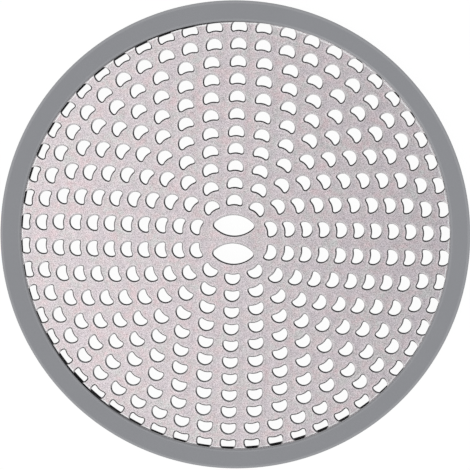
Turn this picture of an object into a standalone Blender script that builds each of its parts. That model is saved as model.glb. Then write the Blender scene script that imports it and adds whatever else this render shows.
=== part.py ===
"""Sink strainer: a flat perforated steel disc whose edge sits in the groove of a soft silicone rim.

The rim stands on the sink or shower floor around the drain and holds the disc clear of the drain's
grate. Water runs through the rings of bean-shaped holes. Two lens-shaped finger slots, with a narrow
bridge between them, let the strainer be pinched and lifted out.

The frame is in metres, with +Z up. The origin is the centre of the circle that the rim stands on,
and the finger slots lie lengthways along X, one on each side of it.
"""

import math

import bmesh
import bpy
from mathutils import Vector
from mathutils.geometry import delaunay_2d_cdt

MM = 0.001

# The rim's overall width, and the wall of silicone outside the groove
OVERALL_DIAMETER = 146.0 * MM
RIM_WALL = 3.0 * MM
WALL_LEAN = 0.4 * MM

# The groove that holds the disc, with a ledge under the disc and a lip over it
GROOVE_DEPTH = 3.8 * MM
LEDGE_HEIGHT = 4.2 * MM
LEDGE_SETBACK = 0.6 * MM
LIP_THICKNESS = 0.9 * MM
SEAT_GAP = 0.3 * MM

# The foot, with a shallow channel in it that helps the rim to grip
FOOT_SETBACK = 1.0 * MM
FOOT_BAND_HEIGHT = 1.5 * MM
CHANNEL_WIDTH = 2.2 * MM
CHANNEL_DEPTH = 0.6 * MM

# The rim's rounded edges
SHOULDER_RADIUS = 0.8 * MM
LIP_EDGE_RADIUS = 0.35 * MM
FOOT_EDGE_RADIUS = 0.4 * MM

# The disc, and the least metal between its edge and a hole
DISC_THICKNESS = 1.0 * MM
DISC_EDGE_WEB = 1.2 * MM

# One hole: a round side that faces outwards and, facing the centre, a side with a dip in it
HOLE_RADIUS = 2.4 * MM
HOLE_DIP = 0.7 * MM
HOLE_CORNER_ANGLE = math.radians(25.0)

# The metal from ring to ring of holes, and the least metal from hole to hole along a ring's outer edge
RING_WEB = 1.886 * MM
HOLE_WEB = 2.93 * MM

# The two finger slots, the bridge between them and the metal round them
SLOT_LENGTH = 12.6 * MM
SLOT_WIDTH = 6.6 * MM
SLOT_TIP_RADIUS = 1.4 * MM
BRIDGE_WIDTH = 2.2 * MM
CENTRE_WEB = 2.9 * MM

# Steps that round shapes are divided into, and the angle past which an edge stays sharp
RIM_STEPS = 72
HOLE_ARC_POINTS = 6
SLOT_SIDE_STEPS = 8
SHOULDER_STEPS = 3
EDGE_STEPS = 2
SLOT_TIP_STEPS = 4
SHARP_ANGLE = math.radians(35.0)

# How the disc is filled: Blender's number for triangles inside the outlines, and when two points are one
TRIANGLES_INSIDE = 1
SAME_POINT = 0.0001 * MM

# What follows for the rim and its groove
RIM_RADIUS = OVERALL_DIAMETER / 2
GROOVE_RADIUS = RIM_RADIUS - RIM_WALL
LIP_RADIUS = GROOVE_RADIUS - GROOVE_DEPTH
DISC_RADIUS = GROOVE_RADIUS - SEAT_GAP
DISC_UNDERSIDE = LEDGE_HEIGHT + SEAT_GAP
GROOVE_CEILING = DISC_UNDERSIDE + DISC_THICKNESS + SEAT_GAP
RIM_HEIGHT = GROOVE_CEILING + LIP_THICKNESS

# What follows for the slots and the rings of holes
HOLE_INNER_REACH = max(HOLE_DIP, HOLE_RADIUS * math.sin(HOLE_CORNER_ANGLE))
SLOT_OFFSET = (BRIDGE_WIDTH + SLOT_WIDTH) / 2
SLOT_REACH = max(SLOT_OFFSET + SLOT_WIDTH / 2, math.hypot(SLOT_LENGTH / 2, SLOT_OFFSET))
FIRST_RING_RADIUS = SLOT_REACH + CENTRE_WEB + HOLE_INNER_REACH
RING_PITCH = HOLE_INNER_REACH + HOLE_RADIUS + RING_WEB
HOLE_SPACING = 2 * HOLE_RADIUS + HOLE_WEB


def clear_scene():
    """Removes the objects that the scene starts with."""
    for obj in list(bpy.data.objects):
        bpy.data.objects.remove(obj, do_unlink=True)


def finish_material(name, colour, roughness, metallic):
    """A plain Principled material."""
    material = bpy.data.materials.new(name)
    material.use_nodes = True
    shader = material.node_tree.nodes["Principled BSDF"]
    shader.inputs["Base Color"].default_value = (*colour, 1.0)
    shader.inputs["Roughness"].default_value = roughness
    shader.inputs["Metallic"].default_value = metallic
    return material


def add_piece(name, mesh_builder, material, parent, height):
    """An object with the mesh that the builder holds, standing at a height on its parent."""
    mesh = bpy.data.meshes.new(name)
    mesh_builder.to_mesh(mesh)
    mesh_builder.free()
    mesh.materials.append(material)
    piece = bpy.data.objects.new(name, mesh)
    bpy.context.scene.collection.objects.link(piece)
    piece.parent = parent
    piece.location = (0.0, 0.0, height)
    return piece


def rounded_outline(corners):
    """Points of a closed outline. Each corner is (point, radius, steps), and a radius of 0 keeps it sharp."""
    points = []
    for index, (corner, radius, steps) in enumerate(corners):
        if not radius:
            points.append(corner)
            continue
        to_last = (corners[index - 1][0] - corner).normalized()
        to_next = (corners[(index + 1) % len(corners)][0] - corner).normalized()
        half_angle = to_last.angle(to_next) / 2
        middle = corner + (to_last + to_next).normalized() * (radius / math.sin(half_angle))
        start = corner + to_last * (radius / math.tan(half_angle)) - middle
        end = corner + to_next * (radius / math.tan(half_angle)) - middle
        turn = start.angle_signed(end)
        for step in range(steps + 1):
            angle = turn * step / steps
            # angle_signed counts clockwise, so each point is turned the other way round
            spoke = Vector((
                start.x * math.cos(angle) + start.y * math.sin(angle),
                start.y * math.cos(angle) - start.x * math.sin(angle),
            ))
            points.append(middle + spoke)
    return points


def rim_profile():
    """The rim's section as (distance from the axis, height), from the foot's inner edge round the outside."""
    foot_inner = LIP_RADIUS + FOOT_SETBACK
    channel_middle = (foot_inner + RIM_RADIUS) / 2
    channel_inner = channel_middle - CHANNEL_WIDTH / 2
    channel_outer = channel_middle + CHANNEL_WIDTH / 2
    return rounded_outline([
        (Vector((foot_inner, 0.0)), FOOT_EDGE_RADIUS, EDGE_STEPS),
        (Vector((channel_inner, 0.0)), 0.0, 0),
        (Vector((channel_inner + CHANNEL_DEPTH, CHANNEL_DEPTH)), 0.0, 0),
        (Vector((channel_outer - CHANNEL_DEPTH, CHANNEL_DEPTH)), 0.0, 0),
        (Vector((channel_outer, 0.0)), 0.0, 0),
        (Vector((RIM_RADIUS, 0.0)), FOOT_EDGE_RADIUS, EDGE_STEPS),
        (Vector((RIM_RADIUS, FOOT_BAND_HEIGHT)), 0.0, 0),
        (Vector((RIM_RADIUS - WALL_LEAN, RIM_HEIGHT)), SHOULDER_RADIUS, SHOULDER_STEPS),
        (Vector((LIP_RADIUS, RIM_HEIGHT)), LIP_EDGE_RADIUS, EDGE_STEPS),
        (Vector((LIP_RADIUS, GROOVE_CEILING)), 0.0, 0),
        (Vector((GROOVE_RADIUS, GROOVE_CEILING)), 0.0, 0),
        (Vector((GROOVE_RADIUS, LEDGE_HEIGHT)), 0.0, 0),
        (Vector((LIP_RADIUS + LEDGE_SETBACK, LEDGE_HEIGHT)), 0.0, 0),
    ])


def build_rim(material, parent):
    """The silicone rim: its section turned once round the axis."""
    builder = bmesh.new()
    section = [builder.verts.new((radius, 0.0, height)) for radius, height in rim_profile()]
    edges = [builder.edges.new((section[i - 1], section[i])) for i in range(len(section))]
    bmesh.ops.spin(
        builder,
        geom=section + edges,
        axis=(0.0, 0.0, 1.0),
        cent=(0.0, 0.0, 0.0),
        angle=math.tau,
        steps=RIM_STEPS,
        use_merge=True,
    )
    bmesh.ops.recalc_face_normals(builder, faces=builder.faces)
    rim = add_piece("silicone_rim", builder, material, parent, 0.0)
    rim.data.shade_smooth()
    rim.data.set_sharp_from_angle(angle=SHARP_ANGLE)


def arc_points(middle, radius, start, sweep, steps):
    """Points along an arc that turns counterclockwise, its last one left off."""
    angles = [start + sweep * i / steps for i in range(steps)]
    return [middle + Vector((radius * math.cos(angle), radius * math.sin(angle))) for angle in angles]


def hole_outline():
    """One hole about the centre of its round side, with the disc's centre towards -Y."""
    sweep = math.pi + 2 * HOLE_CORNER_ANGLE
    points = [Vector((0.0, -HOLE_DIP))]
    for i in range(HOLE_ARC_POINTS):
        angle = sweep * i / (HOLE_ARC_POINTS - 1) - HOLE_CORNER_ANGLE
        points.append(Vector((HOLE_RADIUS * math.cos(angle), HOLE_RADIUS * math.sin(angle))))
    return points


def ring_radii():
    """The distance of each ring's hole centres from the axis, for as many rings as the disc has room for."""
    room = DISC_RADIUS - DISC_EDGE_WEB - HOLE_RADIUS - FIRST_RING_RADIUS
    return [FIRST_RING_RADIUS + RING_PITCH * ring for ring in range(int(room / RING_PITCH) + 1)]


def holes_in_ring(radius):
    """The most holes that a ring has room for, as 2 more than a multiple of 4.

    Such a count puts a hole on the Y axis on each side, and metal on the X axis on each side.
    """
    room = math.tau * (radius + HOLE_RADIUS) / HOLE_SPACING
    return 4 * int((room - 2) / 4) + 2


def hole_outlines():
    """The outline of every hole in its place on the disc."""
    outlines = []
    for radius in ring_radii():
        count = holes_in_ring(radius)
        for i in range(count):
            # The first hole stands on the Y axis
            turn = math.tau * (i / count + 1 / 4)
            outward = Vector((math.cos(turn), math.sin(turn)))
            across = Vector((outward.y, -outward.x))
            centre = outward * radius
            outlines.append([centre + across * point.x + outward * point.y for point in hole_outline()])
    return outlines


def slot_outline(offset):
    """A lens of two equal arcs that run smoothly into round tips, moved by an offset along Y."""
    half_length = SLOT_LENGTH / 2
    half_width = SLOT_WIDTH / 2
    side_radius = (half_length ** 2 + half_width ** 2 - SLOT_LENGTH * SLOT_TIP_RADIUS) / (
        SLOT_WIDTH - 2 * SLOT_TIP_RADIUS
    )
    side_drop = side_radius - half_width
    tip = half_length - SLOT_TIP_RADIUS
    lean = math.atan2(tip, side_drop)
    points = []
    for side in (1.0, -1.0):
        # Each side's arc, and then the tip that it runs into
        turn = math.pi / 2 * side
        side_middle = Vector((0.0, offset - side * side_drop))
        points += arc_points(side_middle, side_radius, turn - lean, 2 * lean, SLOT_SIDE_STEPS)
        tip_middle = Vector((-side * tip, offset))
        points += arc_points(tip_middle, SLOT_TIP_RADIUS, turn + lean, math.pi - 2 * lean, SLOT_TIP_STEPS)
    return points


def build_disc(material, parent):
    """The perforated disc: its outline with every hole in it, filled and given its thickness."""
    outlines = [arc_points(Vector((0.0, 0.0)), DISC_RADIUS, 0.0, math.tau, RIM_STEPS)]
    outlines += [slot_outline(SLOT_OFFSET), slot_outline(-SLOT_OFFSET)]
    outlines += hole_outlines()
    points, areas = [], []
    for outline in outlines:
        areas.append(range(len(points), len(points) + len(outline)))
        points += outline
    corners, _, triangles, _, _, areas_of = delaunay_2d_cdt(points, [], areas, TRIANGLES_INSIDE, SAME_POINT)
    builder = bmesh.new()
    corners = [builder.verts.new((corner.x, corner.y, 0.0)) for corner in corners]
    for triangle, inside in zip(triangles, areas_of):
        # Metal is inside the disc's own outline and no other
        if len(inside) == 1:
            builder.faces.new([corners[i] for i in triangle])
    grown = bmesh.ops.extrude_face_region(builder, geom=builder.faces[:])
    raised = [item for item in grown["geom"] if isinstance(item, bmesh.types.BMVert)]
    bmesh.ops.translate(builder, verts=raised, vec=(0.0, 0.0, DISC_THICKNESS))
    bmesh.ops.recalc_face_normals(builder, faces=builder.faces)
    add_piece("perforated_disc", builder, material, parent, DISC_UNDERSIDE)


def main():
    """Builds the two pieces, each in its place on the strainer's own origin."""
    clear_scene()
    strainer = bpy.data.objects.new("sink_strainer", None)
    bpy.context.scene.collection.objects.link(strainer)
    steel = finish_material("satin_steel", (0.60, 0.56, 0.57), 0.38, 1.0)
    silicone = finish_material("grey_silicone", (0.27, 0.27, 0.29), 0.62, 0.0)
    build_rim(silicone, strainer)
    build_disc(steel, strainer)


main()
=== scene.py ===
"""Sink strainer: the perforated steel sheet and its silicone rim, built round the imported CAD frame.

The frame is in metres, +Z up, with the strainer standing on the floor at height 0 and the finger slots
lengthways along X. The fine pieces take the place of the two CAD nodes and stay inside their boxes.
"""

import logging
import math
from collections.abc import Iterable, Sequence
from dataclasses import dataclass
from enum import Enum

import bpy
import numpy as np
from mathutils import Matrix, Vector
from mathutils.geometry import delaunay_2d_cdt

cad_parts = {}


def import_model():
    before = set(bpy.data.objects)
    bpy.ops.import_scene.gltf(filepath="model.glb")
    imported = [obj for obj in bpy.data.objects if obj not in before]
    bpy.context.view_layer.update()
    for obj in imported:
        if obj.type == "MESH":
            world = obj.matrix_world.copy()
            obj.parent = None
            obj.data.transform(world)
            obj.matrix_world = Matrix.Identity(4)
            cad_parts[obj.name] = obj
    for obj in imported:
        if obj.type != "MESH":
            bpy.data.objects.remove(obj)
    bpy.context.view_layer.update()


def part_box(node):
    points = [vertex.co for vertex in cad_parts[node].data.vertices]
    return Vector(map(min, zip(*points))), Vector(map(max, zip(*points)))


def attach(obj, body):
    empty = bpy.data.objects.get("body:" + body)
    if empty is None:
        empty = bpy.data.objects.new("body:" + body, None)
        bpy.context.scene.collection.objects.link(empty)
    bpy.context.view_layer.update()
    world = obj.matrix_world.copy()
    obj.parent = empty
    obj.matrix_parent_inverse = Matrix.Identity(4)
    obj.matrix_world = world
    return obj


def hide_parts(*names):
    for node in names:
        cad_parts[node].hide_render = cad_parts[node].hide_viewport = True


Colour = tuple[float, float, float]
Point = tuple[float, float]

LOG = logging.getLogger("strainer")
MM = 0.001
WHITE: Colour = (1.0, 1.0, 1.0)
NODE_GAP = 220
# For delaunay_2d_cdt: it gives the triangles inside the loops, and takes points this near, in mm, as one
INSIDE_LOOPS = 1
SAME_POINT = 1e-5


class Slot(Enum):
    """The record's material slots."""

    STEEL = "steel"
    SILICONE = "silicone"


class Mask(Enum):
    """Masks on the meshes' points that the finishes read: punched faces and painted shade, and painted
    highlights.
    """

    CUT_AND_SHADE = "cut_face_and_painted_shade"
    HIGHLIGHT = "painted_highlight_edge"


class Ray(Enum):
    """The kinds of ray that a surface or the surroundings can tell apart."""

    CAMERA = "Is Camera Ray"
    DIFFUSE = "Is Diffuse Ray"
    GLOSSY = "Is Glossy Ray"
    TRANSMISSION = "Is Transmission Ray"


class NodeBench:
    """Adds nodes to one node tree and joins them."""

    def __init__(self, tree: bpy.types.NodeTree) -> None:
        """Starts on a tree.

        Args:
            tree: the tree that the nodes are added to.
        """
        self.tree = tree
        self.count = 0

    def add(
        self, kind: str, values: dict[str | int, object] | None = None, **settings: object
    ) -> bpy.types.Node:
        """Adds one node.

        Args:
            kind: the node's type, without the words ShaderNode.
            values: what goes into its sockets, by name or number. A colour is given without its alpha, and
                a socket of another node is joined.
            settings: the node's own properties.

        Returns:
            The new node.
        """
        node = self.tree.nodes.new("ShaderNode" + kind)
        node.location = (NODE_GAP * self.count, 0)
        self.count += 1
        for name, value in settings.items():
            setattr(node, name, value)
        for key, value in (values or {}).items():
            socket = node.inputs[key]
            if isinstance(value, bpy.types.NodeSocket):
                self.join(value, socket)
            elif socket.type == "RGBA":
                socket.default_value = (*value, 1.0)
            else:
                socket.default_value = value
        return node

    def math(self, operation: str, first: object, second: object = 0.0) -> bpy.types.NodeSocket:
        """The result of one Math node on two numbers or sockets."""
        return self.add("Math", {0: first, 1: second}, operation=operation).outputs[0]

    def remap(
        self, value: object, low: object, high: object, to_low: float = 0.0, to_high: float = 1.0
    ) -> bpy.types.NodeSocket:
        """A value taken smoothly from the range low to high into the range to_low to to_high."""
        values = {"Value": value, "From Min": low, "From Max": high, "To Min": to_low, "To Max": to_high}
        return self.add("MapRange", values, interpolation_type="SMOOTHSTEP").outputs["Result"]

    def between(self, share: object, first: object, second: object) -> bpy.types.NodeSocket:
        """Two numbers blended by a share. The Mix node takes them at its sockets 2 and 3."""
        return self.add("Mix", {0: share, 2: first, 3: second}, data_type="FLOAT").outputs[0]

    def blend(self, share: object, first: object, second: object) -> bpy.types.NodeSocket:
        """Two colours blended by a share. The Mix node takes them at its sockets 6 and 7."""
        return self.add("Mix", {0: share, 6: first, 7: second}, data_type="RGBA").outputs[2]

    def scaled(self, vector: bpy.types.NodeSocket, factor: object) -> bpy.types.NodeSocket:
        """A vector or colour times a factor."""
        return self.add("VectorMath", {0: vector, "Scale": factor}, operation="SCALE").outputs[0]

    def mask(self, mask: Mask) -> bpy.types.NodeSocket:
        """One of the mesh's masks."""
        return self.add("Attribute", attribute_name=mask.value).outputs["Fac"]

    def join(self, output: bpy.types.NodeSocket, target: bpy.types.NodeSocket) -> None:
        """Joins an output to an input."""
        self.tree.links.new(output, target)


class EffectGroup:
    """A shader node group with named inputs and outputs, built once and placed in several materials."""

    name: str = ""
    inputs: dict[str, float] = {}
    outputs: tuple[str, ...] = ()

    def tree(self) -> bpy.types.NodeTree:
        """The group's tree, built the first time that it is asked for.

        Returns:
            The shader node tree.
        """
        found = bpy.data.node_groups.get(self.name)
        if found:
            return found
        tree = bpy.data.node_groups.new(self.name, "ShaderNodeTree")
        for name, value in self.inputs.items():
            socket = tree.interface.new_socket(name, in_out="INPUT", socket_type="NodeSocketFloat")
            socket.default_value = value
        for name in self.outputs:
            tree.interface.new_socket(name, in_out="OUTPUT", socket_type="NodeSocketFloat")
        entry = tree.nodes.new("NodeGroupInput")
        leave = tree.nodes.new("NodeGroupOutput")
        bench = NodeBench(tree)
        for name, result in self.wire(bench, entry.outputs).items():
            bench.join(result, leave.inputs[name])
        return tree

    def wire(self, bench: NodeBench, given: bpy.types.NodeOutputs) -> dict[str, bpy.types.NodeSocket]:
        """Builds the group's inside.

        Args:
            bench: adds the nodes.
            given: the group's inputs as they arrive inside.

        Returns:
            The socket behind each output's name.
        """
        raise NotImplementedError

    def place(self, bench: NodeBench, **values: float) -> bpy.types.NodeOutputs:
        """Puts the group in a material with values of its own.

        Args:
            bench: adds the node to the material.
            values: the group's inputs, with _ for a space.

        Returns:
            The node's outputs.
        """
        node = bench.tree.nodes.new("ShaderNodeGroup")
        node.node_tree = self.tree()
        for name, value in values.items():
            node.inputs[name.replace("_", " ")].default_value = value
        return node.outputs

    @staticmethod
    def noise(
        bench: NodeBench, size: object, stretch: object = 1.0, detail: float = 2.0, roughness: float = 0.5
    ) -> bpy.types.NodeSocket:
        """A noise in the object's own coordinates.

        Args:
            bench: adds the nodes.
            size: how large its features are.
            stretch: how far they are drawn out along X.
            detail: how many finer layers it has.
            roughness: how strong these are.

        Returns:
            The noise, which stays round 0.5.
        """
        place = bench.add("TexCoord").outputs["Object"]
        thin = bench.add("CombineXYZ", {0: bench.math("DIVIDE", 1.0, stretch), 1: 1.0, 2: 1.0}).outputs[0]
        drawn = bench.add("VectorMath", {0: place, 1: thin}, operation="MULTIPLY").outputs[0]
        spot = bench.scaled(drawn, bench.math("DIVIDE", 1.0, size))
        values = {"Vector": spot, "Scale": 1.0, "Detail": detail, "Roughness": roughness}
        return bench.add("TexNoise", values).outputs["Fac"]


class FineGrain(EffectGroup):
    """A fine grain, round or drawn out along X: a tone round 1 and a height from 0 to 1."""

    name = "fine_grain"
    inputs = {"Size": 0.4 * MM, "Stretch": 1.0, "Contrast": 0.05}
    outputs = ("Tone", "Height")
    detail: float = 2.0
    roughness: float = 0.6
    noise_low: float = 0.25
    noise_high: float = 0.75

    def wire(self, bench: NodeBench, given: bpy.types.NodeOutputs) -> dict[str, bpy.types.NodeSocket]:
        """Builds the grain from one noise.

        Args:
            bench: adds the nodes.
            given: the group's inputs as they arrive inside.

        Returns:
            The socket behind each output's name.
        """
        noise = self.noise(bench, given["Size"], given["Stretch"], self.detail, self.roughness)
        height = bench.remap(noise, self.noise_low, self.noise_high)
        swing = bench.math("MULTIPLY", bench.math("SUBTRACT", height, 0.5), given["Contrast"])
        return {"Tone": bench.math("ADD", 1.0, bench.math("MULTIPLY", swing, 2.0)), "Height": height}


class SoftClouds(EffectGroup):
    """Broad soft patches: a mask from 0 to 1."""

    name = "soft_clouds"
    inputs = {"Size": 20.0 * MM, "Softness": 0.2}
    outputs = ("Mask",)
    detail: float = 1.0

    def wire(self, bench: NodeBench, given: bpy.types.NodeOutputs) -> dict[str, bpy.types.NodeSocket]:
        """Builds the patches from one slow noise.

        Args:
            bench: adds the nodes.
            given: the group's inputs as they arrive inside.

        Returns:
            The socket behind each output's name.
        """
        noise = self.noise(bench, given["Size"], detail=self.detail)
        low = bench.math("SUBTRACT", 0.5, given["Softness"])
        high = bench.math("ADD", 0.5, given["Softness"])
        return {"Mask": bench.remap(noise, low, high)}


class PaintedHighlightEdges(EffectGroup):
    """Painted edge highlights: the mesh's own highlight mask, broken up a little along its length."""

    name = "painted_highlight_edges"
    inputs = {"Amount": 1.0, "Patchiness": 0.3, "Patch Size": 3.0 * MM}
    outputs = ("Mask",)

    def wire(self, bench: NodeBench, given: bpy.types.NodeOutputs) -> dict[str, bpy.types.NodeSocket]:
        """Builds the mask from the mesh's own.

        Args:
            bench: adds the nodes.
            given: the group's inputs as they arrive inside.

        Returns:
            The socket behind each output's name.
        """
        edge = bench.mask(Mask.HIGHLIGHT)
        lost = bench.math("MULTIPLY", self.noise(bench, given["Patch Size"]), given["Patchiness"])
        kept = bench.math("MULTIPLY", edge, bench.math("SUBTRACT", 1.0, lost))
        return {"Mask": bench.math("MULTIPLY", kept, given["Amount"])}


@dataclass(frozen=True)
class LipWave:
    """The soft lip's slight wave round the sheet: drawn in at its crests, and a little off centre."""

    mean_radius: float = 66.40 * MM
    height: float = 0.16 * MM
    crests: int = 3
    first_crest: float = math.radians(225)
    drift: float = 0.25 * MM
    drift_towards: float = math.radians(14)
    gap_middle: float = math.radians(165)
    gap_spread: float = 1.5

    def crest(self, angle: np.ndarray) -> np.ndarray:
        """How near each angle is to a crest, from -1 to 1."""
        return np.cos(self.crests * (angle - self.first_crest))

    def offset(self, angle: np.ndarray) -> np.ndarray:
        """How far outside its mean radius the lip lies at each angle."""
        return self.drift * np.cos(angle - self.drift_towards) - self.height * self.crest(angle)

    def gap(self, angle: np.ndarray) -> np.ndarray:
        """How far the lip's inner wall leans back and is painted near-black as shade, from 0 to 1: most at
        the two crests beside gap_middle.
        """
        side = np.clip((1 + np.cos(angle - self.gap_middle)) / self.gap_spread, 0.0, 1.0)
        return np.clip(self.crest(angle), 0.0, 1.0) * side


@dataclass(frozen=True)
class WallWave:
    """One of the waves by which the soft wall under the sheet strays from a circle."""

    crests: int
    height: float
    towards: float

    def offset(self, angle: np.ndarray) -> np.ndarray:
        """How far this wave moves the wall outwards at each angle."""
        return self.height * np.cos(self.crests * (angle - self.towards))


@dataclass(frozen=True)
class SteelFinish:
    """Satin stainless steel: faintly pinkish with greyer patches, a fine grain, dark punched edges that are
    partly painted shade, and painted highlights.
    """

    name: str = "satin_steel"
    pinkish: Colour = (0.638, 0.519, 0.539)
    greyish: Colour = (0.568, 0.556, 0.552)
    bluish: Colour = (0.590, 0.532, 0.559)
    # The punched walls' darker colour, partly painted shade that darkens the holes' outlines
    punched_and_painted_shade: Colour = (0.275, 0.264, 0.269)
    # Painted highlight on the rolled edges round the holes
    painted_edge_highlight: Colour = (0.680, 0.640, 0.652)
    # Painted highlight: a near-white line on the steel just inside the rim's lip
    line: Colour = (0.980, 0.945, 0.955)
    roughness: float = 0.36
    roughness_swing: float = 0.03
    punched_roughness: float = 0.11
    patch_size: float = 9.0 * MM
    patch_softness: float = 0.16
    fleck_size: float = 2.2 * MM
    fleck_softness: float = 0.14
    fleck_share: float = 0.60
    cool_size: float = 5.5 * MM
    cool_softness: float = 0.16
    cool_share: float = 0.90
    highlight_amount: float = 0.8
    highlight_patchiness: float = 0.5
    highlight_patch_size: float = 2.0 * MM
    grain_size: float = 0.15 * MM
    grain_contrast: float = 0.58
    brushing_size: float = 0.30 * MM
    brushing_stretch: float = 14.0
    brushing_contrast: float = 0.015
    brushing_share: float = 0.5
    relief_depth: float = 0.004 * MM
    relief_strength: float = 0.35
    wave: LipWave = LipWave()
    # Where the painted highlight line lies inside the lip, and how wide it is
    line_inset: float = 0.36 * MM
    line_core: float = 0.10 * MM
    line_reach: float = 0.28 * MM

    def build(self) -> bpy.types.Material:
        """Makes the material.

        Returns:
            The steel, ready for a mesh with the masks of punched faces and painted shade, and of painted
            highlights.
        """
        material = bpy.data.materials.new(self.name)
        material.use_nodes = True
        bench = NodeBench(material.node_tree)
        shader = material.node_tree.nodes["Principled BSDF"]
        shader.inputs["Metallic"].default_value = 1.0

        grain = FineGrain().place(bench, Size=self.grain_size, Contrast=self.grain_contrast)
        brushing = FineGrain().place(
            bench, Size=self.brushing_size, Stretch=self.brushing_stretch, Contrast=self.brushing_contrast
        )
        patches = SoftClouds().place(bench, Size=self.patch_size, Softness=self.patch_softness)["Mask"]
        flecks = SoftClouds().place(bench, Size=self.fleck_size, Softness=self.fleck_softness)["Mask"]
        cool = SoftClouds().place(bench, Size=self.cool_size, Softness=self.cool_softness)["Mask"]
        highlight_mask = PaintedHighlightEdges().place(
            bench, Amount=self.highlight_amount, Patchiness=self.highlight_patchiness, Patch_Size=self.highlight_patch_size
        )["Mask"]
        cut = bench.mask(Mask.CUT_AND_SHADE)

        greyness = bench.between(self.fleck_share, patches, flecks)
        sheet = bench.blend(greyness, self.pinkish, self.greyish)
        sheet = bench.blend(bench.math("MULTIPLY", cool, self.cool_share), sheet, self.bluish)
        # The rolled hole edges are painted lighter as a highlight
        sheet = bench.blend(highlight_mask, sheet, self.painted_edge_highlight)
        # A painted highlight line on the steel beside the lip
        beside = bench.math("ABSOLUTE", bench.math("SUBTRACT", self.lip_inset(bench), self.line_inset))
        line = bench.remap(beside, self.line_core, self.line_reach, 1.0, 0.0)
        sheet = bench.blend(line, sheet, self.line)
        # The punched faces take their darker colour, partly painted shade
        sheet = bench.blend(cut, sheet, self.punched_and_painted_shade)
        tone = bench.math("MULTIPLY", grain["Tone"], brushing["Tone"])
        bench.join(bench.scaled(sheet, tone), shader.inputs["Base Color"])

        low, high = self.roughness - self.roughness_swing, self.roughness + self.roughness_swing
        satin = bench.remap(grain["Height"], 0.0, 1.0, low, high)
        bench.join(bench.between(cut, satin, self.punched_roughness), shader.inputs["Roughness"])

        brushed = bench.math("MULTIPLY", brushing["Height"], self.brushing_share)
        relief = bench.math("ADD", grain["Height"], brushed)
        values = {"Height": relief, "Strength": self.relief_strength, "Distance": self.relief_depth}
        bench.join(bench.add("Bump", values).outputs["Normal"], shader.inputs["Normal"])
        return material

    def lip_inset(self, bench: NodeBench) -> bpy.types.NodeSocket:
        """How far inside the rim's waving lip a point lies, for the painted highlight line beside the lip.

        Args:
            bench: adds the nodes.

        Returns:
            The distance, less than 0 outside the lip's edge.
        """
        place = bench.add("TexCoord").outputs["Object"]
        flat = bench.add("VectorMath", {0: place, 1: (1.0, 1.0, 0.0)}, operation="MULTIPLY").outputs[0]
        wave = self.wave
        middle = (wave.drift * math.cos(wave.drift_towards), wave.drift * math.sin(wave.drift_towards), 0.0)
        radius = bench.add("VectorMath", {0: flat, 1: middle}, operation="DISTANCE").outputs["Value"]
        axes = bench.add("SeparateXYZ", {0: place}).outputs
        angle = bench.math("SUBTRACT", bench.math("ARCTAN2", axes["Y"], axes["X"]), wave.first_crest)
        crest = bench.math("COSINE", bench.math("MULTIPLY", angle, float(wave.crests)))
        drawn_in = bench.math("MULTIPLY", crest, wave.height)
        return bench.math("SUBTRACT", wave.mean_radius, bench.math("ADD", radius, drawn_in))


@dataclass(frozen=True)
class SiliconeFinish:
    """Matte grey silicone: a very fine skin, paler edges and one glint on the lip as painted highlights,
    and painted near-black shade inside.
    """

    name: str = "grey_silicone"
    plain: Colour = (0.272, 0.277, 0.294)
    clouded: Colour = (0.268, 0.273, 0.290)
    # Painted highlight colour for the pale edges and the glint on the lip
    painted_pale_highlight: Colour = (0.950, 0.955, 0.965)
    # Painted shade: the near-black colour of the walls under the sheet and of the lip's inner wall
    shaded: Colour = (0.008, 0.008, 0.009)
    roughness: float = 0.75
    roughness_swing: float = 0.04
    shaded_roughness: float = 1.0
    specular: float = 0.08
    patch_size: float = 14.0 * MM
    patch_softness: float = 0.2
    highlight_amount: float = 0.9
    highlight_patchiness: float = 0.25
    highlight_patch_size: float = 6.0 * MM
    skin_size: float = 0.25 * MM
    skin_contrast: float = 0.012
    skin_depth: float = 0.006 * MM
    skin_strength: float = 0.4

    def build(self) -> bpy.types.Material:
        """Makes the material.

        Returns:
            The silicone, ready for a mesh with the painted shade and painted highlight masks.
        """
        material = bpy.data.materials.new(self.name)
        material.use_nodes = True
        bench = NodeBench(material.node_tree)
        shader = material.node_tree.nodes["Principled BSDF"]
        shader.inputs["Specular IOR Level"].default_value = self.specular

        skin = FineGrain().place(bench, Size=self.skin_size, Contrast=self.skin_contrast)
        patches = SoftClouds().place(bench, Size=self.patch_size, Softness=self.patch_softness)["Mask"]
        highlight_mask = PaintedHighlightEdges().place(
            bench, Amount=self.highlight_amount, Patchiness=self.highlight_patchiness, Patch_Size=self.highlight_patch_size
        )["Mask"]
        inner = bench.mask(Mask.CUT_AND_SHADE)

        body = bench.blend(patches, self.plain, self.clouded)
        # The edges are painted pale as highlights
        body = bench.blend(highlight_mask, body, self.painted_pale_highlight)
        # The inside under the sheet and the lip's inner wall are painted near-black as shade
        body = bench.blend(inner, body, self.shaded)
        bench.join(bench.scaled(body, skin["Tone"]), shader.inputs["Base Color"])

        low, high = self.roughness - self.roughness_swing, self.roughness + self.roughness_swing
        matte = bench.remap(skin["Height"], 0.0, 1.0, low, high)
        bench.join(bench.between(inner, matte, self.shaded_roughness), shader.inputs["Roughness"])
        values = {"Height": skin["Height"], "Strength": self.skin_strength, "Distance": self.skin_depth}
        bench.join(bench.add("Bump", values).outputs["Normal"], shader.inputs["Normal"])
        return material


def arc(middle: Point, radius: float, start: float, sweep: float, steps: int) -> list[Point]:
    """Points along an arc, its last one left off.

    Args:
        middle: the arc's centre.
        radius: its radius.
        start: the angle of its first point.
        sweep: the angle that it turns through, counterclockwise if positive.
        steps: how many points it gets.

    Returns:
        The points as (x, y).
    """
    angles = [start + sweep * i / steps for i in range(steps)]
    return [(middle[0] + radius * math.cos(a), middle[1] + radius * math.sin(a)) for a in angles]


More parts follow.
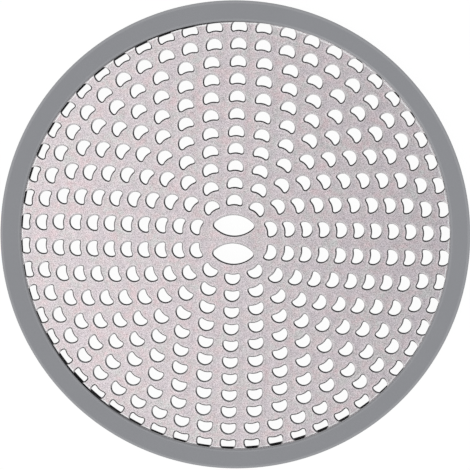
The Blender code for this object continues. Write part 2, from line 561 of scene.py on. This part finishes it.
@dataclass(frozen=True)
class BeanHole:
    """One bean-shaped hole, along the middle of its rolled edge, with the sheet's centre towards -Y."""

    radius: float = 2.52 * MM
    dip: float = 0.83 * MM
    corner_radius: float = 0.75 * MM
    corner_angle: float = math.radians(12.7)
    round_steps: int = 16
    corner_steps: int = 4
    dip_steps: int = 6

    def outline(self, spread: float) -> list[Point]:
        """The hole's outline.

        Args:
            spread: how far outside the middle line it lies.

        Returns:
            The points, counterclockwise, the same number for every spread.
        """
        reach = self.radius - self.corner_radius
        corner = (reach * math.cos(self.corner_angle), -reach * math.sin(self.corner_angle))
        left = (-corner[0], corner[1])
        fall = corner[1] + self.dip
        dip_radius = (corner[0] ** 2 + fall**2 - self.corner_radius**2) / (2 * (self.corner_radius - fall))
        dip_middle = (0.0, -self.dip - dip_radius)
        lean = math.atan2(corner[0], corner[1] - dip_middle[1])
        side, end = self.radius + spread, self.corner_radius + spread
        side_turn = math.pi + 2 * self.corner_angle
        end_turn = math.pi / 2 - self.corner_angle + lean
        # The round side, the left corner, the dip and the right corner
        points = arc((0.0, 0.0), side, -self.corner_angle, side_turn, self.round_steps)
        points += arc(left, end, math.pi + self.corner_angle, end_turn, self.corner_steps)
        points += arc(dip_middle, dip_radius - spread, math.pi / 2 + lean, -2 * lean, self.dip_steps)
        points += arc(corner, end, -math.pi / 2 - lean, end_turn, self.corner_steps)
        return points


@dataclass(frozen=True)
class FingerSlot:
    """One lens-shaped finger slot, along the middle of its rolled edge."""

    length: float = 12.80 * MM
    width: float = 6.80 * MM
    tip_radius: float = 1.4 * MM
    side_steps: int = 18
    tip_steps: int = 6

    def outline(self, spread: float) -> list[Point]:
        """The slot's outline.

        Args:
            spread: how far outside the middle line it lies.

        Returns:
            The points, counterclockwise, the same number for every spread.
        """
        half_length, half_width = self.length / 2, self.width / 2
        side_radius = (half_length**2 + half_width**2 - 2 * half_length * self.tip_radius) / (
            2 * (half_width - self.tip_radius)
        )
        drop = side_radius - half_width
        tip = half_length - self.tip_radius
        lean = math.atan2(tip, drop)
        side, end = side_radius + spread, self.tip_radius + spread
        points = arc((0.0, -drop), side, math.pi / 2 - lean, 2 * lean, self.side_steps)
        points += arc((-tip, 0.0), end, math.pi / 2 + lean, math.pi - 2 * lean, self.tip_steps)
        points += arc((0.0, drop), side, -math.pi / 2 - lean, 2 * lean, self.side_steps)
        points += arc((tip, 0.0), end, -math.pi / 2 + lean, math.pi - 2 * lean, self.tip_steps)
        return points


@dataclass(frozen=True)
class EdgeStep:
    """One step of the section from the sheet's face into a hole."""

    spread: float
    depth: float
    # How far the punched face's darker colour, partly painted shade, reaches at this step
    cut: float
    # How much painted highlight the rolled edge gets at this step
    rub: float


@dataclass(frozen=True)
class HolePattern:
    """Where the holes and the two slots are."""

    first_radius: float = 11.617 * MM
    ring_pitch: float = 5.3003 * MM
    counts: tuple[int, ...] = (10, 14, 18, 22, 26, 30, 34, 38, 42, 50, 54)
    slot_offset: float = 4.4 * MM

    def places(self) -> list[tuple[float, float]]:
        """Finds the places of the holes, the first of each ring on the Y axis.

        Returns:
            Every hole's distance from the axis and its direction.
        """
        found = []
        for ring, count in enumerate(self.counts):
            radius = self.first_radius + self.ring_pitch * ring
            found += [(radius, math.tau * (i / count + 0.25)) for i in range(count)]
        return found


@dataclass
class MeshDraft:
    """The points, faces and masks of a mesh while it is being put together."""

    points: list[np.ndarray]
    faces: list[Sequence[int]]
    cut: list[np.ndarray]
    rub: list[np.ndarray]
    count: int = 0

    @classmethod
    def empty(cls) -> "MeshDraft":
        """A draft with nothing in it."""
        return cls([], [], [], [])

    def add_loop(
        self, flat: np.ndarray, height: float, cut: float | np.ndarray = 0.0, rub: float | np.ndarray = 0.0
    ) -> list[int]:
        """Adds one closed loop of points at a height.

        Args:
            flat: the points' x and y, one row each.
            height: their height.
            cut: their mask of punched faces and painted shade, one for all or one each.
            highlight: their painted highlight mask, one for all or one each.

        Returns:
            The points' numbers in the mesh.
        """
        rows = len(flat)
        self.points.append(np.c_[flat, np.full(rows, height)])
        self.cut.append(np.full(rows, cut))
        self.rub.append(np.full(rows, rub))
        self.count += rows
        return list(range(self.count - rows, self.count))

    def bridge(self, outer: Sequence[int], inner: Sequence[int]) -> None:
        """Joins two loops with faces whose fronts are up where the first loop lies outside the second.

        Args:
            outer: the first loop's point numbers.
            inner: the second loop's, as many as the first has.
        """
        size = len(outer)
        for i in range(size):
            k = (i + 1) % size
            self.faces.append((outer[i], outer[k], inner[k], inner[i]))

    def fill(self, loops: Sequence[Sequence[int]], up: bool) -> None:
        """Fills between the first loop and the others inside it.

        Args:
            loops: the loops' point numbers, the outermost first.
            up: whether the faces' fronts are up.
        """
        spots = np.concatenate(self.points)
        numbers, areas = [], []
        for loop in loops:
            areas.append(list(range(len(numbers), len(numbers) + len(loop))))
            numbers += loop
        flat = [Vector(spots[n][:2]) / MM for n in numbers]
        _, _, triangles, sources, _, owners = delaunay_2d_cdt(flat, [], areas, INSIDE_LOOPS, SAME_POINT)
        for triangle, inside in zip(triangles, owners):
            # A triangle inside the outermost loop alone is filled, and one inside a second loop is open
            if len(inside) == 1:
                corners = [numbers[sources[c][0]] for c in triangle]
                self.faces.append(corners if up else corners[::-1])

    def finish(self, name: str, sharp_angle: float) -> bpy.types.Object:
        """Makes the object.

        Args:
            name: its name.
            sharp_angle: the angle past which an edge is drawn sharp.

        Returns:
            The new object, in the scene.
        """
        mesh = bpy.data.meshes.new(name)
        mesh.from_pydata(np.concatenate(self.points).tolist(), [], [list(face) for face in self.faces])
        for mask, values in ((Mask.CUT_AND_SHADE, self.cut), (Mask.HIGHLIGHT, self.rub)):
            layer = mesh.attributes.new(mask.value, "FLOAT", "POINT")
            layer.data.foreach_set("value", np.concatenate(values).astype(np.float32))
        mesh.shade_smooth()
        mesh.set_sharp_from_angle(angle=sharp_angle)
        mesh.update()
        piece = bpy.data.objects.new(name, mesh)
        bpy.context.scene.collection.objects.link(piece)
        return piece


@dataclass(frozen=True)
class PerforatedSheet:
    """The steel sheet with its rings of bean holes and its two finger slots, their edges rolled inwards."""

    node: str = "perforated_disc"
    name: str = "steel_sheet"
    rim_steps: int = 288
    edge_break: float = 0.10 * MM
    sharp_angle: float = math.radians(50)
    hole: BeanHole = BeanHole()
    slot: FingerSlot = FingerSlot()
    pattern: HolePattern = HolePattern()
    edge: tuple[EdgeStep, ...] = (
        EdgeStep(0.78 * MM, 0.035 * MM, 0.0, 0.0),
        EdgeStep(0.34 * MM, 0.007 * MM, 0.0, 1.0),
        EdgeStep(0.23 * MM, 0.0, 0.0, 1.0),
        EdgeStep(0.17 * MM, 0.018 * MM, 0.8, 0.2),
        EdgeStep(0.11 * MM, 0.063 * MM, 1.0, 0.0),
        EdgeStep(-0.17 * MM, 0.268 * MM, 1.0, 0.0),
        EdgeStep(-0.23 * MM, 0.345 * MM, 1.0, 0.0),
        EdgeStep(-0.08 * MM, 0.94 * MM, 1.0, 0.0),
        EdgeStep(-0.02 * MM, 1.00 * MM, 0.6, 0.0),
    )

    def openings(self) -> Iterable[list[np.ndarray]]:
        """Goes through the openings, each with its loops from the sheet's face to its back.

        Returns:
            For each opening its loops' flat points, one array for each step of the edge.
        """
        for radius, turn in self.pattern.places():
            outward = np.array((math.cos(turn), math.sin(turn)))
            across = np.array((outward[1], -outward[0]))
            axes = np.stack((across, outward))
            yield [outward * radius + np.array(self.hole.outline(step.spread)) @ axes for step in self.edge]
        for side in (1.0, -1.0):
            middle = np.array((0.0, side * self.pattern.slot_offset))
            yield [middle + np.array(self.slot.outline(step.spread)) for step in self.edge]

    def circle(self, radius: float) -> np.ndarray:
        """Points of the sheet's round outline."""
        return np.array(arc((0.0, 0.0), radius, 0.0, math.tau, self.rim_steps))

    def build(self, finish: bpy.types.Material) -> bpy.types.Object:
        """Makes the sheet in the place of its CAD node.

        Args:
            finish: the steel.

        Returns:
            The sheet.
        """
        low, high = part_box(self.node)
        radius = high.x
        draft = MeshDraft.empty()
        face = high.z - self.edge[0].depth
        rings = [
            draft.add_loop(self.circle(radius - self.edge_break), face),
            draft.add_loop(self.circle(radius), face - self.edge_break),
            draft.add_loop(self.circle(radius), low.z + self.edge_break),
            draft.add_loop(self.circle(radius - self.edge_break), low.z),
        ]
        for upper, lower in zip(rings, rings[1:]):
            draft.bridge(lower, upper)
        faces, backs = [rings[0]], [rings[-1]]
        for loops in self.openings():
            steps = [
                draft.add_loop(flat, high.z - step.depth, step.cut, step.rub)
                for flat, step in zip(loops, self.edge)
            ]
            for outer, inner in zip(steps, steps[1:]):
                draft.bridge(outer, inner)
            faces.append(steps[0])
            backs.append(steps[-1])
        draft.fill(faces, up=True)
        draft.fill(backs, up=False)
        sheet = draft.finish(self.name, self.sharp_angle)
        sheet.data.materials.append(finish)
        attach(sheet, "root")
        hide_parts(self.node)
        return sheet


@dataclass(frozen=True)
class SectionCorner:
    """One corner of the rim's section: its rounding, its masks, and its share in the waves and the gap."""

    radius: float
    height: float
    rounding: float = 0.0
    # How much of the rim's painted near-black shade this corner gets
    cut: float = 0.0
    # How much painted highlight this corner gets
    rub: float = 0.0
    lip: float = 0.0
    wall: float = 0.0
    gap: float = 0.0


@dataclass(frozen=True)
class SiliconeRim:
    """The moulded rim: a foot with a channel, a ledge, the groove that grips the sheet, and a soft lip."""

    node: str = "silicone_rim"
    name: str = "silicone_rim_skin"
    turn_steps: int = 288
    rounding_steps: int = 5
    sharp_angle: float = math.radians(50)
    sheet_low: float = 4.5 * MM
    sheet_high: float = 5.5 * MM
    sheet_radius: float = 69.7 * MM
    clearance: float = 0.03 * MM
    wave: LipWave = LipWave()
    wall_waves: tuple[WallWave, ...] = (
        WallWave(1, 0.37 * MM, math.radians(316)),
        WallWave(2, 0.11 * MM, math.radians(18)),
        WallWave(3, 0.095 * MM, math.radians(70.5)),
        WallWave(4, 0.13 * MM, math.radians(351)),
        WallWave(6, 0.09 * MM, math.radians(18)),
    )
    ledge_radius: float = 66.75 * MM
    foot_radius: float = 67.15 * MM
    wall_lean: float = 0.4 * MM
    foot_band: float = 1.5 * MM
    channel_radius: float = 70.1 * MM
    channel_width: float = 2.2 * MM
    channel_depth: float = 0.6 * MM
    channel_rounding: float = 0.12 * MM
    foot_rounding: float = 0.4 * MM
    flash: float = 0.05 * MM
    flash_rounding: float = 0.02 * MM
    inner_rounding: float = 0.08 * MM
    shoulder: float = 0.8 * MM
    lip_edge: float = 0.5 * MM
    gap_height: float = 0.6 * MM
    gap_flare: float = 0.14 * MM
    foot_edge: float = 0.2 * MM
    edge_fade: float = 0.25 * MM
    # How much painted highlight the flash band, the outer shoulder, the lip's edge and the closed lip wall
    # get
    band_paleness: float = 0.11
    shoulder_paleness: float = 0.10
    lip_paleness: float = 0.07
    closed_paleness: float = 0.50
    # A painted glint on the lip, strongest towards this direction
    glint_towards: float = math.radians(52)
    glint_reach: float = 0.14

    def section(self, outer: float, height: float) -> list[SectionCorner]:
        """The rim's section, from the foot's inner edge round the outside.

        Args:
            outer: the rim's radius.
            height: its height.

        Returns:
            The corners in order.
        """
        channel_in = self.channel_radius - self.channel_width / 2
        channel_out = self.channel_radius + self.channel_width / 2
        groove = self.sheet_radius + self.clearance
        roof, ledge = self.sheet_high + self.clearance, self.sheet_low - self.clearance
        lip, top = self.wave.mean_radius, outer - self.wall_lean
        flash_low = self.foot_band - 2 * self.flash
        # The walls under the sheet and the lip's inner wall are painted near-black as shade
        return [
            SectionCorner(self.foot_radius, self.foot_edge + self.edge_fade, cut=1.0, wall=1.0),
            SectionCorner(self.foot_radius, 0.0, self.foot_edge, wall=1.0),
            SectionCorner(channel_in, 0.0, self.channel_rounding),
            SectionCorner(channel_in + self.channel_depth, self.channel_depth, self.channel_rounding),
            SectionCorner(channel_out - self.channel_depth, self.channel_depth, self.channel_rounding),
            SectionCorner(channel_out, 0.0, self.channel_rounding),
            SectionCorner(outer, 0.0, self.foot_rounding),
            # The paleness values in this section paint highlights on the edges
            SectionCorner(outer, flash_low, self.flash_rounding, rub=self.band_paleness),
            SectionCorner(outer - self.flash, self.foot_band, self.flash_rounding),
            SectionCorner(top, height, self.shoulder, rub=self.shoulder_paleness),
            SectionCorner(top - self.shoulder - self.edge_fade, height),
            SectionCorner(lip + self.lip_edge + self.edge_fade, height, lip=1.0, gap=1.0),
            SectionCorner(lip, height, self.lip_edge, rub=self.lip_paleness, lip=1.0, gap=1.0),
            SectionCorner(lip, roof + self.gap_height, cut=1.0, lip=1.0, gap=1.0),
            SectionCorner(lip, roof, self.inner_rounding, cut=1.0, lip=1.0, gap=-1.0),
            SectionCorner(groove, roof, cut=1.0),
            SectionCorner(groove, ledge, cut=1.0),
            SectionCorner(self.ledge_radius, ledge, self.inner_rounding, cut=1.0, wall=1.0),
        ]

    def rounded(self, corners: Sequence[SectionCorner]) -> list[tuple[float, float, SectionCorner]]:
        """The section's points with its corners rounded.

        Args:
            corners: the section's corners.

        Returns:
            (radius, height, corner that it belongs to) of each point.
        """
        points = []
        for index, corner in enumerate(corners):
            here = Vector((corner.radius, corner.height))
            if not corner.rounding:
                points.append((*here, corner))
                continue
            last, following = corners[index - 1], corners[(index + 1) % len(corners)]
            back = (Vector((last.radius, last.height)) - here).normalized()
            ahead = (Vector((following.radius, following.height)) - here).normalized()
            half_angle = back.angle(ahead) / 2
            tangent = corner.rounding / math.tan(half_angle)
            middle = here + (back + ahead).normalized() * (corner.rounding / math.sin(half_angle))
            start, end = here + back * tangent - middle, here + ahead * tangent - middle
            # angle_signed counts clockwise, and Matrix.Rotation the other way round
            turn = -start.angle_signed(end)
            for step in range(self.rounding_steps + 1):
                spoke = Matrix.Rotation(turn * step / self.rounding_steps, 2) @ start
                points.append((*(middle + spoke), corner))
        return points

    def build(self, finish: bpy.types.Material) -> bpy.types.Object:
        """Makes the rim in the place of its CAD node.

        Args:
            finish: the silicone.

        Returns:
            The rim.
        """
        _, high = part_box(self.node)
        draft = MeshDraft.empty()
        rings = []
        angles = np.arange(self.turn_steps) * (math.tau / self.turn_steps)
        spokes = np.c_[np.cos(angles), np.sin(angles)]
        lip, gap = self.wave.offset(angles), self.wave.gap(angles)
        # The painted glint on the lip, by direction
        glint = np.clip(1 - (1 - np.cos(angles - self.glint_towards)) / self.glint_reach, 0.0, 1.0)
        wall = sum(wave.offset(angles) for wave in self.wall_waves)
        for radius, height, corner in self.rounded(self.section(high.x, high.z)):
            reach = radius + corner.lip * lip + corner.wall * wall + corner.gap * self.gap_flare * gap
            # Where gap is high the lip's inner wall is painted near-black as shade; where it is low, it is
            # painted pale as a highlight
            closed = corner.lip * corner.cut * (1 - gap)
            shade = corner.cut - closed
            # The lip's edges are painted pale as highlights, more so towards the glint
            pale = corner.rub * (1 + glint * corner.lip)
            pale += closed * (self.closed_paleness + (1 - self.closed_paleness) * glint)
            rings.append(draft.add_loop(spokes * reach[:, None], height, shade, pale))
        for ring, following in zip(rings, rings[1:] + rings[:1]):
            draft.bridge(ring, following)
        rim = draft.finish(self.name, self.sharp_angle)
        rim.data.materials.append(finish)
        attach(rim, "root")
        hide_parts(self.node)
        return rim


@dataclass(frozen=True)
class PhotoCamera:
    """The photograph's camera: its place, lens and small shift, fitted to the rim and the holes."""

    distance: float = 303.0 * MM
    lean: float = math.radians(5.72)
    lean_towards: float = math.radians(72.96)
    roll: float = math.radians(1.56)
    image_px: float = 470.0
    focal_px: float = 960.9
    sensor_width: float = 36.0
    shift_right_px: float = 0.81
    shift_up_px: float = 2.88
    clip_near: float = 10 * MM
    clip_far: float = 100.0

    def place(self) -> bpy.types.Object:
        """Makes the camera and sets it as the scene's.

        Returns:
            The camera.
        """
        data = bpy.data.cameras.new("photo_camera")
        data.sensor_width = self.sensor_width
        data.lens = self.focal_px / self.image_px * self.sensor_width
        data.shift_x = self.shift_right_px / self.image_px
        data.shift_y = self.shift_up_px / self.image_px
        data.clip_start, data.clip_end = self.clip_near, self.clip_far
        camera = bpy.data.objects.new("photo_camera", data)
        back = Vector((
            math.sin(self.lean) * math.cos(self.lean_towards),
            math.sin(self.lean) * math.sin(self.lean_towards),
            math.cos(self.lean),
        ))
        right = Vector((-math.sin(self.roll), math.cos(self.roll), 0.0)).cross(back).normalized()
        turned = Matrix((right, back.cross(right), back)).transposed()
        camera.matrix_world = Matrix.Translation(back * self.distance) @ turned.to_4x4()
        bpy.context.scene.collection.objects.link(camera)
        bpy.context.scene.camera = camera
        return camera


@dataclass(frozen=True)
class Studio:
    """A plain pale floor, a soft key light, and white surroundings that show the metal a dark side too."""

    floor_half: float = 3.0
    floor_glow: float = 0.955
    floor_colour: Colour = (0.80, 0.80, 0.80)
    floor_shade_share: float = 0.06
    clear_reach: float = 8.0 * MM
    fill: float = 0.80
    key_strength: float = 0.62
    key_angle: float = math.radians(50)
    key_elevation: float = math.radians(60)
    key_azimuth: float = math.radians(215)
    bright_side: float = math.radians(189)
    bright_sky: Colour = (1.325, 1.33, 1.325)
    dim_sky: Colour = (0.650, 0.676, 0.692)
    sky_reach: float = 0.20
    far_sky: Colour = (2.25, 2.25, 2.25)
    under_sky: Colour = (0.92, 0.92, 0.92)
    under_below: float = -0.45
    far_above: float = -0.20
    far_below: float = 0.32
    overhead_above: float = 0.52
    dark_side: float = math.radians(70)
    dark_card: Colour = (0.06, 0.06, 0.062)
    card_start: float = -0.90
    card_end: float = 0.50

    @staticmethod
    def seen_by(bench: NodeBench, *rays: Ray) -> bpy.types.NodeSocket:
        """Whether a ray is one of some kinds.

        Args:
            bench: adds the nodes.
            rays: the kinds.

        Returns:
            1 for a ray of these kinds, and otherwise 0.
        """
        path = bench.add("LightPath").outputs
        found = path[rays[0].value]
        for ray in rays[1:]:
            found = bench.math("MAXIMUM", found, path[ray.value])
        return found

    @staticmethod
    def towards(bench: NodeBench, azimuth: float) -> bpy.types.NodeSocket:
        """How far a direction of the surroundings leans towards an azimuth.

        Args:
            bench: adds the nodes.
            azimuth: the azimuth.

        Returns:
            The lean, from -1 to 1.
        """
        direction = bench.add("TexCoord").outputs["Generated"]
        values = {0: direction, 1: (math.cos(azimuth), math.sin(azimuth), 0.0)}
        return bench.add("VectorMath", values, operation="DOT_PRODUCT").outputs["Value"]

    def surround(self) -> None:
        """Sets the surroundings: white to the camera, soft sides to the metal, an even fill to the rest."""
        world = bpy.data.worlds.new("studio")
        bpy.context.scene.world = world
        world.use_nodes = True
        world.node_tree.nodes.clear()
        bench = NodeBench(world.node_tree)
        even = bench.add("Background", {"Color": WHITE, "Strength": self.fill})
        white = bench.add("Background", {"Color": WHITE, "Strength": 1.0})
        height = bench.add("SeparateXYZ", {0: bench.add("TexCoord").outputs["Generated"]}).outputs["Z"]
        overhead = bench.remap(height, self.far_below, self.overhead_above)
        brightness = bench.remap(self.towards(bench, self.bright_side), -self.sky_reach, self.sky_reach)
        soft = bench.blend(brightness, self.dim_sky, self.bright_sky)
        card = bench.remap(self.towards(bench, self.dark_side), self.card_start, self.card_end)
        far = bench.blend(card, self.far_sky, self.dark_card)
        sky = bench.blend(overhead, far, soft)
        under = bench.remap(height, self.under_below, self.far_above, 1.0, 0.0)
        sky = bench.blend(under, sky, self.under_sky)
        shown = bench.add("Background", {"Color": sky, "Strength": 1.0})
        glossy = self.seen_by(bench, Ray.GLOSSY)
        metal = bench.add("MixShader", {0: glossy, 1: even.outputs[0], 2: shown.outputs[0]})
        plain = self.seen_by(bench, Ray.CAMERA, Ray.TRANSMISSION)
        final = bench.add("MixShader", {0: plain, 1: metal.outputs[0], 2: white.outputs[0]})
        bench.join(final.outputs[0], bench.add("OutputWorld").inputs["Surface"])

    def lay_floor(self) -> bpy.types.Object:
        """Lays the floor: white to the camera with the object's faint shadow, and clear from below.

        Returns:
            The floor.
        """
        half = self.floor_half
        corners = [(-half, -half, 0.0), (half, -half, 0.0), (half, half, 0.0), (-half, half, 0.0)]
        mesh = bpy.data.meshes.new("floor")
        mesh.from_pydata(corners, [], [(0, 1, 2, 3)])
        floor = bpy.data.objects.new("floor", mesh)
        bpy.context.scene.collection.objects.link(floor)
        material = bpy.data.materials.new("pale_floor")
        material.use_nodes = True
        material.node_tree.nodes.clear()
        bench = NodeBench(material.node_tree)
        matte = bench.add("BsdfDiffuse", {"Color": self.floor_colour})
        faint = bench.add("BsdfDiffuse", {"Color": (self.floor_shade_share,) * 3})
        glow = bench.add("Emission", {"Color": WHITE, "Strength": self.floor_glow})
        white = bench.add("AddShader", {0: glow.outputs[0], 1: faint.outputs[0]})
        plain = self.seen_by(bench, Ray.CAMERA, Ray.GLOSSY, Ray.TRANSMISSION)
        top = bench.add("MixShader", {0: plain, 1: matte.outputs[0], 2: white.outputs[0]})
        below = bench.add("NewGeometry").outputs["Backfacing"]
        # The part sees the surroundings through the floor close below it, so its underside isn't black
        near = bench.math("LESS_THAN", bench.add("LightPath").outputs["Ray Length"], self.clear_reach)
        near = bench.math("MULTIPLY", near, self.seen_by(bench, Ray.DIFFUSE, Ray.GLOSSY))
        passed = bench.math("MAXIMUM", below, near)
        clear = bench.add("BsdfTransparent")
        both = bench.add("MixShader", {0: passed, 1: top.outputs[0], 2: clear.outputs[0]})
        bench.join(both.outputs[0], bench.add("OutputMaterial").inputs["Surface"])
        mesh.materials.append(material)
        return floor

    def hang_key(self) -> bpy.types.Object:
        """Hangs the soft key light at the lower left, kept out of the metal's reflections.

        Returns:
            The light.
        """
        data = bpy.data.lights.new("key", "SUN")
        data.energy = self.key_strength
        data.angle = self.key_angle
        key = bpy.data.objects.new("key", data)
        towards = Vector((
            math.cos(self.key_elevation) * math.cos(self.key_azimuth),
            math.cos(self.key_elevation) * math.sin(self.key_azimuth),
            math.sin(self.key_elevation),
        ))
        key.rotation_euler = towards.to_track_quat("Z", "Y").to_euler()
        key.visible_glossy = False
        bpy.context.scene.collection.objects.link(key)
        return key


def main() -> None:
    """Builds the strainer and its studio round the CAD frame, and logs each piece's faces and size."""
    logging.basicConfig(level=logging.INFO, format="%(name)s: %(message)s")
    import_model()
    bpy.context.scene.view_settings.view_transform = "Standard"
    pieces = [
        PerforatedSheet().build(SteelFinish().build()),
        SiliconeRim().build(SiliconeFinish().build()),
    ]
    for piece in pieces:
        size = piece.dimensions / MM
        LOG.info("%s: %d faces, %.1f x %.1f x %.1f mm", piece.name, len(piece.data.polygons), *size)
    studio = Studio()
    studio.surround()
    studio.lay_floor()
    studio.hang_key()
    PhotoCamera().place()


if __name__ == "__main__":
    main()
